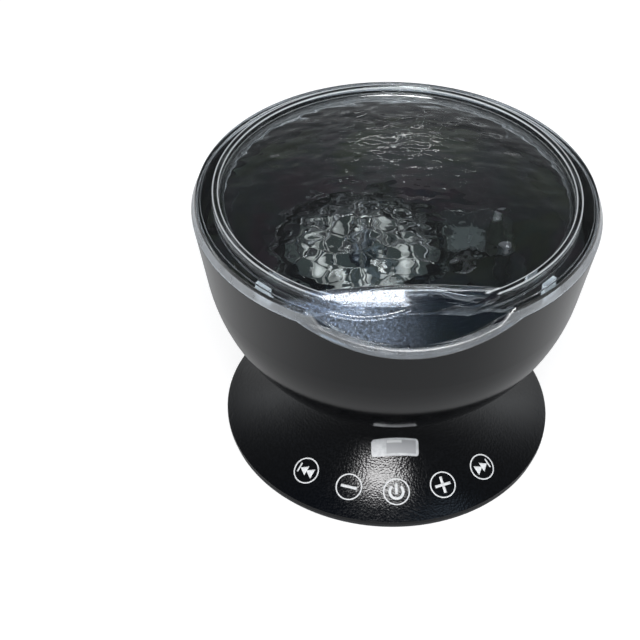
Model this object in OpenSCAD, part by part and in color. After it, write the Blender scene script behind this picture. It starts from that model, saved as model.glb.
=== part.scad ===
// Ocean wave projector: a bowl head with a clear wave lid, tilting on a flared base.
// Millimetres. The front faces -Y, +Z is up, and the origin is under the centre on the table.

/* [Bowl head] */
// Outer diameter of the bowl at its rim
rim_d = 145; // [143:1:175]
// Height of the rim above the centre of the ball-shaped underside
rim_rise = 14.8; // [12:0.2:18]
// How far the ball's equator lies inside the rim
ball_inset = 3.3; // [2.5:0.1:4.5]
// Wall of the bowl
shell_t = 2.2; // [1.6:0.1:2.6]

/* [Base] */
// Outer diameter of the base at the table
base_d = 126; // [124:1:156]
// Outer diameter of the neck under the bowl
neck_d = 67; // [62:1:80]
// Height of the neck's top edge
neck_z = 26.8; // [25:0.2:32.2]
// Wall of the base shell
base_t = 2.2; // [1.8:0.1:2.6]
// How far the flank curves in between the edge and the neck
flank_sag = 1.9; // [1:0.1:2.5]
// Height of the straight edge at the foot of the flank
lip_h = 1.2; // [0.8:0.1:2]
// Thickness of the bottom cover
cover_t = 2; // [1.6:0.1:3]
// Height that the rubber feet stand proud
foot_h = 1.2; // [0.8:0.1:2]
// Diameter of a rubber foot
foot_d = 12; // [8:0.5:14]

/* [Tilt joint] */
// Tilt of the head from level, leaning back
tilt_max = 45; // [20:1:45]
// Diameter of the post that passes through the bowl's slot
post_d = 13; // [10:0.5:15]
// Bore of the post, for the leads
post_bore_d = 5; // [3:0.5:6]
// Diameter of the shoe that holds the bowl from inside
shoe_d = 24; // [18:1:30]

/* [Lid] */
// Height of the clear band over the rim
band_h = 4.3; // [3.5:0.1:5]
// How far the band draws in towards its top
band_draw = 1.6; // [1:0.1:2]
// Wall of the clear lid
lid_t = 1.8; // [1.4:0.1:2]
// Outer diameter of the raised clear rib
rib_d = 130; // [126:1:132]
// Width of the rib
rib_w = 2.2; // [1.8:0.1:3]
// Height of the rib above the band
rib_h = 2.7; // [2:0.1:3.5]
// Rise of the wave lens from its edge to its crown
lens_rise = 6; // [3:0.5:9]
// Thickness of the wave lens
lens_t = 2.2; // [1.8:0.1:3]
// Depth of the notch at the front of the rim
notch_deep = 10.7; // [9:0.1:11.2]
// Radius of the notch's curve
notch_r = 300; // [240:10:360]
// Slope of the scoop behind the notch
notch_slope = 38; // [34:1:40]

/* [Wave drive] */
// Sideways place of the rotating wave dome
dome_x = -12; // [-14:1:-8]
// Module of the gear teeth
gear_m = 0.8; // [0.7:0.05:0.9]
// Teeth on the wave dome
dome_teeth = 80; // [66:1:84]
// Teeth on the pinion
pinion_teeth = 16; // [14:1:18]
// Rise of the wave dome above its gear
dome_rise = 11; // [9:0.5:13]
// Wall of the wave dome
dome_t = 2; // [1.5:0.1:2.5]
// Diameter of the dome's axle
axle_d = 3; // [2.5:0.5:4]
// Diameter of the motor's shaft
shaft_d = 2; // [1.5:0.5:3]
// Number of lamps on the lamp board
lamp_count = 12; // [6:1:14]
// Diameter of a lamp
lamp_d = 5; // [3:0.5:6]

/* [Electrics] */
// Diameter of the loudspeaker
speaker_d = 40; // [36:1:44]
// Height of the loudspeaker
speaker_h = 11.6; // [9:0.2:12]
// Width of the infrared window
window_w = 17.8; // [14:0.2:22]
// Depth of the infrared window, seen from above
window_d = 5; // [3.5:0.1:6]
// Corner radius of the infrared window
window_corner = 1.1; // [0.5:0.1:1.5]
// Distance of the touch keys from the centre
key_ring_r = 52.5; // [50:0.5:53]
// Angle between neighbouring touch keys
key_step = 19.25; // [16:0.25:24]

/* [Fits] */
// Gap between fixed parts
fit_gap = 0.1; // [0.05:0.05:0.2]
// Gap between the ball and its seat
seat_gap = 0.5; // [0.4:0.1:0.8]
// Gap between the ball and the pad or shoe that guides it
guide_gap = 0.3; // [0.2:0.05:0.4]
// Radial clearance of a turning axle or shaft
run_gap = 0.05; // [0.03:0.01:0.08]

/* [Hidden] */
$fn = 96;
eps = 0.01;
far = 200;

rim_r = rim_d / 2;
ball_r = rim_r - ball_inset;
base_r = base_d / 2;
neck_r = neck_d / 2;
neck_land = 1.5;
seat_r = ball_r + seat_gap;
seat_in_r = neck_r - neck_land;
ball_z = neck_z + sqrt(seat_r * seat_r - seat_in_r * seat_in_r);
rim_z = ball_z + rim_rise;
dish_t = 3;

// Height of the seam between the bottom cover and the base shell
seam_z = foot_h + cover_t;
lip_z = seam_z + lip_h;

// The flank is an arc from the lip to the neck that curves inward
flank_run = base_r - neck_r;
flank_climb = neck_z - lip_z;
flank_chord = sqrt(flank_run * flank_run + flank_climb * flank_climb);
flank_r = (flank_chord * flank_chord / 4 + flank_sag * flank_sag) / (2 * flank_sag);
flank_c = [(base_r + neck_r) / 2 + (flank_r - flank_sag) * flank_climb / flank_chord,
           (lip_z + neck_z) / 2 + (flank_r - flank_sag) * flank_run / flank_chord];
// Height of the flank at a radius, at a depth below its face
function flank_z(r, depth = 0) =
    flank_c[1] - sqrt(pow(flank_r + depth, 2) - pow(flank_c[0] - r, 2));
// Radius of the flank at a height, at a depth below its face
function flank_x(z, depth = 0) =
    flank_c[0] - sqrt(pow(flank_r + depth, 2) - pow(flank_c[1] - z, 2));

// The bowl's side is the straight line from the rim that touches the ball
rim_reach = sqrt(rim_r * rim_r + rim_rise * rim_rise);
side_angle = atan2(rim_rise, rim_r) - acos(ball_r / rim_reach);
function touch_point(r) = [r * cos(side_angle), ball_z + r * sin(side_angle)];
side_dir = [-sin(side_angle), cos(side_angle)];
// Outer radius of the bowl's side at a height, at a depth below its face
function side_x(z, depth = 0) =
    let (t = touch_point(ball_r - depth)) t[0] + (z - t[1]) * side_dir[0] / side_dir[1];

band_z = rim_z + band_h;
rib_r = rib_d / 2;
rib_z = band_z + rib_h;
plate_drop = 0.7;
plate_z = band_z - plate_drop;
lens_r = rib_r - rib_w - fit_gap;
lens_edge_z = rib_z - 2.2;
lens_ball_r = (lens_r * lens_r + lens_rise * lens_rise) / (2 * lens_rise);
lens_ball_z = lens_edge_z + lens_rise - lens_ball_r;
crown_z = lens_edge_z + lens_rise;

hook_w = 6;
hook_t = 1.5;
hook_r = side_x(rim_z, shell_t) - 4.2;
hook_h = 9;
barb = 0.9;
catch_z = plate_z - lid_t - hook_h + 2;

tray_z = rim_z - 14;
tray_t = 1.8;
floor_z = rim_z - 31.4;
floor_r = 50;
floor_top = floor_z + tray_t;
tray_gap = 0.6;
ledge_w = 4;
ledge_t = 2;
tray_boss_d = 6.4;
tray_screw_r = side_x(tray_z, shell_t) - ledge_w + 0.9;

board_t = 1.6;
lamp_board_z = floor_top + 2;
lamp_board_top = lamp_board_z + board_t;
lamp_board_r = 27;
lamp_ring_r = 17;
lamp_h = 7;
gear_z = lamp_board_top + 5;
gear_t = 2;
dome_edge_z = gear_z + gear_t;
pitch_dome_r = gear_m * dome_teeth / 2;
pitch_pinion_r = gear_m * pinion_teeth / 2;
root_dome_r = pitch_dome_r - 1.15 * gear_m;
pinion_x = dome_x + pitch_dome_r + pitch_pinion_r;
dome_r = root_dome_r - 0.2;
dome_ball_r = (dome_r * dome_r + dome_rise * dome_rise) / (2 * dome_rise);
dome_crown_z = dome_edge_z + dome_rise;
dome_ball_z = dome_crown_z - dome_ball_r;
hub_d = axle_d + 5;
axle_boss_z = gear_z - 2.6;
pinion_t = gear_t + 2;
gearbox_d = 24;
gearbox_h = 9;
motor_d = 20;
motor_h = 15;
cover_plate_z = dome_edge_z + 3;

screw_d = 2.6;
screw_head_d = 5.2;
cover_screw_r = base_r - 14.5;
cover_boss_d = 8;
cover_screw_angles = [-20, 55, 125, 200];
foot_r = base_r - 12;
foot_angles = [-50, 25, 155, 230];
recess = 1;

window_y = -(neck_r + 6.3);
speaker_z = seam_z + fit_gap;
touch_board_z = seam_z + 0.6;
touch_board_t = 1;
touch_board_r = flank_x(touch_board_z + touch_board_t + 0.3, base_t);
touch_screw_x = 42;
touch_screw_y = -(base_r - 31.5);
main_board_z = seam_z + 2.3;
main_board_y = 26;
main_board_w = 46;
main_board_top = main_board_z + board_t;
// The board's far corners stop short of the flank
main_board_r = flank_x(main_board_top + 0.3, base_t) - 0.5;
main_board_l = sqrt(pow(main_board_r, 2) - pow(main_board_w / 2, 2)) - main_board_y;
usb_w = 7.6;
usb_h = 2.7;
usb_l = 9;
jack_x = 15;
jack_d = 5;
jack_h = 5.4;
jack_z = main_board_top + jack_h / 2;

// Shared shapes

// A half-plane to the right of the axis, between two heights
module between(z0, z1, r = far) {
    translate([0, z0]) square([r, z1 - z0]);
}

// The bowl's section from its axis, drawn in by a depth and cut off at a height
module bowl_section(depth, top) {
    r = ball_r - depth;
    t = touch_point(r);
    intersection() {
        translate([0, ball_z]) circle(r, $fn = 180);
        between(ball_z - r - 1, t[1]);
    }
    polygon([[0, t[1] - eps], [t[0], t[1] - eps], t, [side_x(top, depth), top], [0, top]]);
}

// The base shell's section under the flank, drawn in by a depth
module flank_section(depth) {
    difference() {
        polygon([[0, seam_z], [base_r - depth, seam_z], [base_r - depth, lip_z],
                 [neck_r, neck_z - depth], [0, neck_z - depth]]);
        translate(flank_c) circle(flank_r + depth, $fn = 180);
    }
}

// The space above the sloping notch at the front, raised by a height
module notch_space(lift) {
    translate([0, -rim_r, rim_z - notch_deep + lift])
        rotate([notch_slope, 0, 0])
            translate([0, -30, notch_r])
                rotate([-90, 0, 0])
                    cylinder(r = notch_r, h = 90, $fn = 180);
}

// Copies at equal angles round the Z axis
module ring_of(count, start = 0) {
    for (i = [0 : count - 1]) rotate(start + i * 360 / count) children();
}

// Outline of a spur gear with slim straight-sided teeth, one tooth on +X
module gear_outline(teeth, turn = 0) {
    pitch_r = gear_m * teeth / 2;
    tip_r = pitch_r + 0.85 * gear_m;
    root_r = pitch_r - 1.15 * gear_m;
    step = 360 / teeth;
    tooth = [[-0.33, root_r], [-0.11, tip_r], [0.11, tip_r], [0.33, root_r]];
    polygon([for (i = [0 : teeth - 1]) for (k = tooth)
        let (a = turn + (i + k[0]) * step) [k[1] * cos(a), k[1] * sin(a)]]);
}

// A pan-head screw with its head's underside at the origin, pointing down
module screw(shank_l, d = screw_d, head_d = screw_head_d, head_h = 1.6) {
    translate([0, 0, -shank_l]) cylinder(d = d, h = shank_l + eps);
    difference() {
        cylinder(d = head_d, h = head_h);
        translate([0, 0, head_h - 0.8]) {
            cube([head_d * 0.55, 0.7, 2], center = true);
            cube([0.7, head_d * 0.55, 2], center = true);
        }
    }
}

// Places of the cover's screws
module at_cover_screws() {
    for (a = cover_screw_angles) rotate(a) translate([cover_screw_r, 0, 0]) children();
}

// Places of the feet
module at_feet() {
    for (a = foot_angles) rotate(a) translate([foot_r, 0, 0]) children();
}

// Places of the screws that hold the touch board
module at_touch_screws() {
    for (s = [-1, 1]) translate([s * touch_screw_x, touch_screw_y, touch_board_z]) children();
}

// Places of the screws that hold the main board
module at_main_screws() {
    for (s = [-1, 1]) translate([s * (main_board_w / 2 - 3), main_board_y + 3, main_board_z]) children();
}

// Places of the tray's screws
module at_tray_screws() {
    ring_of(4, 0) translate([tray_screw_r, 0, 0]) children();
}

// Places of the shoe's two screws
module at_shoe_screws() {
    for (s = [-1, 1]) translate([s * (post_bore_d + post_d) / 4, 0, 0]) children();
}

// Places of the gear cover's two posts
module at_cover_posts() {
    for (s = [-1, 1]) translate([pinion_x + 12, s * 9, 0]) children();
}

// Places of the motor's two screws
module at_motor_screws() {
    for (s = [-1, 1]) translate([pinion_x, s * (gearbox_d / 2 + 3), 0]) children();
}

// Base

module base_cover() {
    color("#2b2c2f")
    difference() {
        union() {
            translate([0, 0, foot_h]) cylinder(r = base_r - 0.6, h = cover_t);
            at_cover_screws() translate([0, 0, seam_z - eps]) cylinder(d = cover_boss_d, h = 2);
            // Clips round the loudspeaker
            ring_of(3, 30) {
                translate([speaker_d / 2 + 0.2, -3, seam_z - eps]) cube([1.6, 6, 3]);
                translate([speaker_d / 2 - 0.6, -3, seam_z + 1.6]) cube([2.4, 6, 1.4]);
            }
            // Posts under the two boards
            at_touch_screws() translate([0, 0, seam_z - touch_board_z - eps])
                cylinder(d = 5, h = touch_board_z - seam_z);
            at_main_screws() translate([0, 0, seam_z - main_board_z - eps])
                cylinder(d = 5, h = main_board_z - seam_z);
        }
        at_touch_screws() translate([0, 0, -2]) cylinder(d = 1.7, h = far);
        at_main_screws() translate([0, 0, -2.6]) cylinder(d = 1.7, h = far);
        at_cover_screws() {
            cylinder(d = screw_d + 0.6, h = far);
            translate([0, 0, foot_h - eps]) cylinder(d = screw_head_d + 0.6, h = 1.8);
        }
        at_feet() translate([0, 0, foot_h - eps]) cylinder(d = foot_d + 2 * fit_gap, h = recess);
        // Sound holes
        translate([0, 0, foot_h - 1]) {
            cylinder(d = 2.6, h = cover_t + 2);
            ring_of(6) translate([5.2, 0, 0]) cylinder(d = 2.6, h = cover_t + 2);
            ring_of(12) translate([10.4, 0, 0]) cylinder(d = 2.6, h = cover_t + 2);
        }
    }
}

module rubber_feet() {
    color("#17181a")
    at_feet() cylinder(d = foot_d, h = foot_h + recess - 2 * fit_gap);
}

module cover_screws() {
    color("silver")
    at_cover_screws() translate([0, 0, foot_h + 1.7]) rotate([180, 0, 0]) screw(6.6);
}

module base_shell() {
    color("#1d1f22")
    difference() {
        union() {
            difference() {
                rotate_extrude($fn = 180) difference() {
                    flank_section(0);
                    translate([0, ball_z]) circle(seat_r, $fn = 180);
                    // Groove for the friction pad
                    intersection() {
                        translate([0, ball_z]) circle(ball_r + 1.2, $fn = 180);
                        translate([seat_in_r - 8, 0]) square([7, far]);
                    }
                    // Hollow inside
                    difference() {
                        polygon([[0, seam_z - 1], [base_r - base_t, seam_z - 1],
                                 [base_r - base_t, lip_z], [neck_r, neck_z], [0, neck_z]]);
                        translate(flank_c) circle(flank_r + base_t, $fn = 180);
                        translate([0, ball_z]) circle(seat_r + dish_t, $fn = 180);
                    }
                }
                // Infrared window
                window_plan(0);
            }
            // Bosses for the cover's screws, up to the flank
            intersection() {
                at_cover_screws() translate([0, 0, seam_z + 2 + fit_gap]) cylinder(d = 7, h = 12);
                rotate_extrude() flank_section(base_t / 2);
            }
            // Post that passes through the bowl's slot
            translate([0, 0, ball_z - seat_r - dish_t / 2])
                cylinder(d = post_d, h = dish_t / 2 + seat_gap + shell_t + guide_gap + 1);
        }
        at_cover_screws() translate([0, 0, seam_z]) cylinder(d = screw_d + 0.1, h = 6.6);
        translate([0, 0, seam_z]) cylinder(d = post_bore_d, h = far);
        at_shoe_screws() translate([0, 0, ball_z - ball_r - 1]) cylinder(d = 2.1, h = far);
        // Sockets at the back
        translate([-usb_w / 2 - 0.4, 0, main_board_top - 0.3]) cube([usb_w + 0.8, far, usb_h + 0.6]);
        translate([jack_x, 0, jack_z]) rotate([-90, 0, 0]) cylinder(d = jack_d + 0.6, h = far);
    }
}

// Upright prism with the window's rounded outline, drawn in by a gap
module window_plan(gap) {
    corner = window_corner - gap;
    translate([0, window_y, seam_z]) linear_extrude(far) polygon([
        for (k = [0 : 3], a = [0 : 15 : 90])
        let (side = (k == 0 || k == 3) ? 1 : -1, end = k < 2 ? 1 : -1)
        [side * (window_w / 2 - window_corner) + corner * cos(90 * k + a),
         end * (window_d / 2 - window_corner) + corner * sin(90 * k + a)]
    ]);
}

module ir_window() {
    color("#c3c8cc")
    intersection() {
        rotate_extrude($fn = 180) difference() {
            flank_section(0.15);
            flank_section(base_t + 1);
        }
        window_plan(fit_gap);
    }
}

module ir_receiver() {
    body_y = window_y - 1;
    body_z = flank_z(-body_y, base_t + 1) - 7;
    color("#101114") {
        translate([-3, body_y, body_z]) cube([6, 4.6, 5]);
        translate([0, body_y + 0.4, body_z + 2.5]) sphere(d = 4, $fn = 48);
    }
    color("silver")
    for (x = [-2, 0, 2]) translate([x - 0.3, body_y + 3, touch_board_z + touch_board_t])
        cube([0.6, 0.6, body_z - touch_board_z - touch_board_t + eps]);
}

module touch_board() {
    color("#1f5a3a")
    difference() {
        intersection() {
            translate([0, 0, touch_board_z]) cylinder(r = touch_board_r, h = touch_board_t);
            translate([-50, -far, 0]) cube([100, far - 27, far]);
        }
        at_cover_screws() cylinder(d = cover_boss_d + 1, h = far);
        at_touch_screws() translate([0, 0, -1]) cylinder(d = 2, h = 3);
    }
}

module touch_springs() {
    top = flank_z(key_ring_r + 2, base_t) - guide_gap;
    bottom = touch_board_z + touch_board_t;
    color("silver")
    for (i = [-2 : 2]) rotate(i * key_step) translate([0, -key_ring_r, bottom]) difference() {
        cylinder(d = 5, h = top - bottom);
        translate([0, 0, -1]) cylinder(d = 3.6, h = far);
    }
}

module main_board() {
    color("#1f5a3a")
    difference() {
        translate([-main_board_w / 2, main_board_y, main_board_z])
            cube([main_board_w, main_board_l, board_t]);
        at_main_screws() translate([0, 0, -1]) cylinder(d = 2, h = 4);
    }
}

module board_screws() {
    color("silver") {
        at_touch_screws() translate([0, 0, touch_board_t]) screw(2.8, d = 1.6, head_d = 3.2, head_h = 1);
        at_main_screws() translate([0, 0, board_t]) screw(4, d = 1.6, head_d = 3.2, head_h = 1);
    }
}

module board_chips() {
    color("#15161a") {
        translate([-14, main_board_y + 3, main_board_top]) cube([8, 8, 1.4]);
        translate([-1, main_board_y + 3, main_board_top]) cube([6, 5, 1.4]);
        for (p = [[-18, 11], [-12, 15.5], [8.5, 4]])
            translate([p[0], main_board_y + p[1], main_board_top]) cylinder(d = 4, h = 3.4);
    }
}

module usb_socket() {
    front = flank_x(main_board_top + usb_h) - 0.5;
    color("silver")
    translate([-usb_w / 2, front - usb_l, main_board_top]) difference() {
        cube([usb_w, usb_l, usb_h]);
        translate([0.4, 1.5, 0.4]) cube([usb_w - 0.8, usb_l, usb_h - 0.8]);
    }
}

module audio_jack() {
    front = sqrt(pow(flank_x(jack_z + jack_h / 2, base_t), 2) - pow(jack_x + jack_d / 2, 2)) - 0.8;
    nose = sqrt(pow(flank_x(jack_z), 2) - jack_x * jack_x) - front - 1;
    color("#15161a")
    translate([jack_x, front, jack_z]) difference() {
        union() {
            translate([-3, -11, -jack_h / 2]) cube([6, 11, jack_h]);
            rotate([-90, 0, 0]) cylinder(d = jack_d, h = nose);
        }
        translate([0, nose + 1, 0]) rotate([90, 0, 0]) cylinder(d = 3.6, h = nose + 10);
    }
}

module speaker_basket() {
    r = speaker_d / 2;
    flange = 1.2;
    magnet_z = speaker_h * 0.45;
    color("#8f9296")
    translate([0, 0, speaker_z]) rotate_extrude() difference() {
        union() {
            translate([r - 3, 0]) square([3, flange]);
            polygon([[r - 3, 0], [r - 1.8, flange], [r * 0.6, magnet_z], [0, magnet_z],
                     [0, magnet_z - 1], [r * 0.55, magnet_z - 1]]);
            translate([0, magnet_z - eps]) square([r * 0.58, speaker_h - magnet_z]);
        }
    }
}

module speaker_cone() {
    r = speaker_d / 2 - 3.7;
    color("#24262a")
    translate([0, 0, speaker_z]) rotate_extrude()
        polygon([[0, 2], [4, 2.6], [r - 1.2, 0], [r, 0], [r - 1, 0.6], [4.4, 3.3], [0, 2.8]]);
}

module seat_pad() {
    color("#3a3c40")
    rotate_extrude($fn = 180) intersection() {
        difference() {
            translate([0, ball_z]) circle(ball_r + 1.2 - fit_gap / 2, $fn = 180);
            translate([0, ball_z]) circle(ball_r + guide_gap, $fn = 180);
        }
        translate([seat_in_r - 8 + fit_gap, 0]) square([7 - 2 * fit_gap, ball_z]);
    }
}

module tilt_shoe() {
    outer_r = ball_r - shell_t - guide_gap;
    color("#c9ccd0")
    difference() {
        rotate_extrude($fn = 180) intersection() {
            difference() {
                translate([0, ball_z]) circle(outer_r, $fn = 180);
                translate([0, ball_z]) circle(outer_r - 3, $fn = 180);
            }
            between(0, ball_z, shoe_d / 2);
        }
        // Flat seat on the post
        translate([0, 0, ball_z - outer_r - 1]) cylinder(d = post_d + fit_gap, h = 2);
        translate([0, 0, seam_z]) cylinder(d = post_bore_d, h = far);
        at_shoe_screws() translate([0, 0, seam_z]) cylinder(d = 2.3, h = far);
    }
}

module shoe_screws() {
    x = (post_bore_d + post_d) / 4;
    inner_r = ball_r - shell_t - guide_gap - 3;
    head_z = ball_z - sqrt(inner_r * inner_r - pow(x + 1.8, 2));
    color("silver")
    at_shoe_screws() translate([0, 0, head_z]) screw(6, d = 2, head_d = 3.6, head_h = 1.3);
}

// Head

// Slot in the bowl's underside, from the post at rest to its place at full tilt
module tilt_slot() {
    w = post_d + 2 * seat_gap;
    translate([0, 0, ball_z]) {
        rotate([0, 90, 0]) rotate_extrude(angle = tilt_max, $fn = 180)
            translate([ball_r - shell_t - 4, -w / 2]) square([shell_t + 8, w]);
        // Round ends, a hair narrower than the slot so that no face only touches
        for (a = [0, tilt_max]) rotate([a, 0, 0]) translate([0, 0, -ball_r - 4])
            cylinder(d = w - 0.1, h = shell_t + 8);
    }
}

module bowl_shell() {
    in_r = side_x(tray_z, shell_t);
    color("#222427")
    difference() {
        union() {
            rotate_extrude($fn = 180) difference() {
                bowl_section(0, rim_z);
                bowl_section(shell_t, rim_z + 1);
            }
            // Ledge and bosses that carry the tray
            rotate_extrude($fn = 180) difference() {
                translate([in_r - ledge_w, tray_z - ledge_t]) square([ledge_w + shell_t / 2, ledge_t]);
                difference() {
                    between(0, far);
                    bowl_section(shell_t / 2, rim_z);
                }
            }
            intersection() {
                at_tray_screws() translate([0, 0, tray_z - 9]) cylinder(d = tray_boss_d, h = 9 - eps);
                rotate_extrude($fn = 180) bowl_section(shell_t / 2, rim_z);
            }
            // Catches for the lid's hooks
            intersection() {
                ring_of(4, 45) translate([hook_r + hook_t + 0.3, -hook_w / 2, catch_z])
                    cube([8, hook_w, 1.6]);
                rotate_extrude($fn = 180) bowl_section(shell_t / 2, rim_z);
            }
        }
        tilt_slot();
        notch_space(0);
        at_tray_screws() translate([0, 0, tray_z - 7]) cylinder(d = screw_d + 0.1, h = 8);
    }
}

module inner_tray() {
    r = side_x(tray_z, shell_t) - tray_gap;
    color("#17181a")
    difference() {
        union() {
            rotate_extrude($fn = 180)
                polygon([[0, floor_z], [floor_r, floor_z], [r - 6, tray_z], [r, tray_z],
                         [r, tray_z + tray_t], [r - 7, tray_z + tray_t],
                         [floor_r - 1, floor_top], [0, floor_top]]);
            // Boss that holds the dome's axle
            translate([dome_x, 0, floor_top - eps]) cylinder(d = hub_d, h = axle_boss_z - floor_top);
            // Spacers under the lamp board
            translate([dome_x, 0, floor_top - eps]) ring_of(3, 30) translate([lamp_board_r - 4, 0, 0])
                cylinder(d = 5, h = lamp_board_z - floor_top);
            // Posts under the gear cover
            at_cover_posts() translate([0, 0, floor_top - eps])
                cylinder(d = 5.5, h = cover_plate_z - floor_top);
        }
        translate([dome_x, 0, floor_z + 0.8]) cylinder(d = axle_d, h = far);
        translate([pinion_x, 0, floor_z - 1]) cylinder(d = 8, h = tray_t + 2);
        at_motor_screws() translate([0, 0, floor_z - 1]) cylinder(d = screw_d + 0.3, h = tray_t + 2);
        at_tray_screws() translate([0, 0, tray_z - 1]) cylinder(d = screw_d + 0.5, h = tray_t + 2);
        at_cover_posts() translate([0, 0, cover_plate_z - 6]) cylinder(d = 2.1, h = 7);
    }
}

module tray_screws() {
    color("silver")
    at_tray_screws() translate([0, 0, tray_z + tray_t]) screw(8);
}

module lamp_board() {
    color("#e8e8e2")
    translate([dome_x, 0, lamp_board_z]) difference() {
        cylinder(r = lamp_board_r, h = board_t);
        translate([0, 0, -1]) cylinder(d = hub_d + 0.6, h = board_t + 2);
    }
}

module lamps() {
    color("#f2efe2")
    translate([dome_x, 0, lamp_board_top]) ring_of(lamp_count) translate([lamp_ring_r, 0, 0]) {
        cylinder(d = lamp_d + 0.8, h = 1);
        cylinder(d = lamp_d, h = lamp_h - lamp_d / 2);
        translate([0, 0, lamp_h - lamp_d / 2]) sphere(d = lamp_d, $fn = 48);
    }
}

module dome_axle() {
    foot_z = floor_z + 0.9;
    color("silver")
    translate([dome_x, 0, foot_z]) cylinder(d = axle_d, h = dome_crown_z - dome_t - 0.6 - foot_z);
}

module gear_motor() {
    color("#b9bcc0")
    translate([pinion_x, 0, floor_z - gearbox_h - motor_h]) difference() {
        union() {
            cylinder(d = motor_d, h = motor_h);
            translate([0, 0, motor_h]) cylinder(d = gearbox_d, h = gearbox_h);
            // Ears under the tray's floor
            translate([0, 0, motor_h + gearbox_h - 1.5]) intersection() {
                cube([7, gearbox_d + 12, 3], center = true);
                translate([0, 0, -1]) cylinder(d = gearbox_d + 12, h = 2.5);
            }
        }
        translate([0, 0, motor_h + 2]) cylinder(d = shaft_d + 2 * run_gap, h = far);
        for (s = [-1, 1]) translate([0, s * (gearbox_d / 2 + 3), motor_h]) cylinder(d = 2.7, h = far);
    }
}

module motor_screws() {
    color("silver")
    at_motor_screws() translate([0, 0, floor_top]) screw(5);
}

module motor_shaft() {
    color("silver")
    translate([pinion_x, 0, floor_z - gearbox_h + 2.2])
        cylinder(d = shaft_d, h = gear_z - 1 + pinion_t - floor_z + gearbox_h - 2.2);
}

module drive_pinion() {
    color("#e9e6da")
    translate([pinion_x, 0, gear_z - 1]) difference() {
        linear_extrude(pinion_t) gear_outline(pinion_teeth, 180 / pinion_teeth);
        translate([0, 0, -1]) cylinder(d = shaft_d, h = pinion_t + 2);
    }
}

module wave_dome() {
    color("#dfe9ee")
    translate([dome_x, 0, 0]) difference() {
        union() {
            rotate_extrude($fn = 180) {
                difference() {
                    intersection() {
                        translate([0, dome_ball_z]) circle(dome_ball_r, $fn = 180);
                        between(dome_edge_z - eps, dome_crown_z + 1);
                    }
                    translate([0, dome_ball_z]) circle(dome_ball_r - dome_t, $fn = 180);
                }
                // Hub that turns on the axle
                translate([0, axle_boss_z + fit_gap])
                    square([hub_d / 2, dome_crown_z - dome_t / 2 - axle_boss_z - fit_gap]);
            }
            translate([0, 0, gear_z]) linear_extrude(gear_t) difference() {
                gear_outline(dome_teeth);
                circle(dome_r - 3, $fn = 180);
            }
        }
        cylinder(d = axle_d + 2 * run_gap, h = dome_crown_z - dome_t / 2);
    }
}

module gear_cover() {
    inner_x = dome_x + dome_r - 1.5;
    color("#dfe9ee")
    translate([0, 0, cover_plate_z]) difference() {
        linear_extrude(1.6) intersection() {
            translate([inner_x, -13]) square([pinion_x + 16 - inner_x, 26]);
            translate([pinion_x, 0]) circle(r = 18, $fn = 96);
        }
        at_cover_posts() translate([0, 0, -1]) cylinder(d = 2.4, h = 4);
    }
}

module gear_cover_screws() {
    color("silver")
    at_cover_posts() translate([0, 0, cover_plate_z + 1.6]) screw(5, d = 2, head_d = 4, head_h = 1.3);
}

// Lid

// Section of the lid outside the lens
module lid_section() {
    top_r = rim_r - band_draw;
    low_z = rim_z - notch_deep - 1;
    low_r = side_x(low_z);
    // Outer band, which goes on down the bowl's side for the notch
    polygon([[low_r, low_z], [rim_r, rim_z], [top_r, band_z],
             [top_r - lid_t, band_z], [rim_r - lid_t, rim_z], [low_r - lid_t, low_z]]);
    // Flat top between the band and the rib
    translate([rib_r - rib_w, plate_z - lid_t]) square([top_r - rib_r + rib_w - lid_t / 2, lid_t]);
    translate([rib_r - rib_w, plate_z - lid_t]) square([rib_w, rib_z - plate_z + lid_t]);
    // Inner ledge that the lens sits on
    translate([rib_r - rib_w - 2, lens_edge_z - lens_t - lid_t - fit_gap]) square([rib_w + 2, lid_t]);
}

module lid_ring() {
    color("#d5dce0", 0.5)
    difference() {
        union() {
            difference() {
                rotate_extrude($fn = 180) lid_section();
                // Only the notch lets the band down below the rim
                difference() {
                    translate([0, 0, rim_z - far + fit_gap]) cylinder(r = far, h = far);
                    notch_space(fit_gap);
                }
            }
            // Scoop wall behind the notch
            intersection() {
                notch_space(band_h - lid_t);
                rotate_extrude($fn = 180) union() {
                    intersection() {
                        translate([0, lens_ball_z]) circle(lens_ball_r, $fn = 180);
                        between(lens_edge_z - 12, crown_z + 1, lens_r);
                    }
                    between(rim_z - notch_deep, plate_z, rim_r - band_draw - lid_t / 2);
                    between(rim_z, rib_z, rib_r);
                }
            }
            // Snap hooks that hang inside the bowl
            ring_of(4, 45) {
                translate([hook_r, 0, plate_z - lid_t - hook_h]) rotate([90, 0, 0])
                    linear_extrude(hook_w, center = true)
                        polygon([[0, 0], [hook_t, 0], [hook_t + barb, 1.8], [hook_t, 1.8],
                                 [hook_t, hook_h + eps], [0, hook_h + eps]]);
            }
        }
        notch_space(band_h);
    }
}

module wave_lens() {
    color("#cfdde3", 0.4)
    difference() {
        rotate_extrude($fn = 180) intersection() {
            difference() {
                translate([0, lens_ball_z]) circle(lens_ball_r, $fn = 180);
                translate([0, lens_ball_z]) circle(lens_ball_r - lens_t, $fn = 180);
            }
            between(lens_edge_z - lens_t, crown_z + 1, lens_r);
        }
        notch_space(band_h - lid_t - fit_gap);
    }
}

base_cover();
rubber_feet();
cover_screws();
base_shell();
ir_window();
ir_receiver();
touch_board();
touch_springs();
main_board();
board_screws();
board_chips();
usb_socket();
audio_jack();
speaker_basket();
speaker_cone();
seat_pad();
tilt_shoe();
shoe_screws();
bowl_shell();
inner_tray();
tray_screws();
lamp_board();
lamps();
dome_axle();
gear_motor();
motor_screws();
motor_shaft();
drive_pinion();
wave_dome();
gear_cover();
gear_cover_screws();
lid_ring();
wave_lens();
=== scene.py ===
import math

import bmesh
import bpy
from mathutils import Euler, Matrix, Quaternion, Vector, noise


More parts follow.
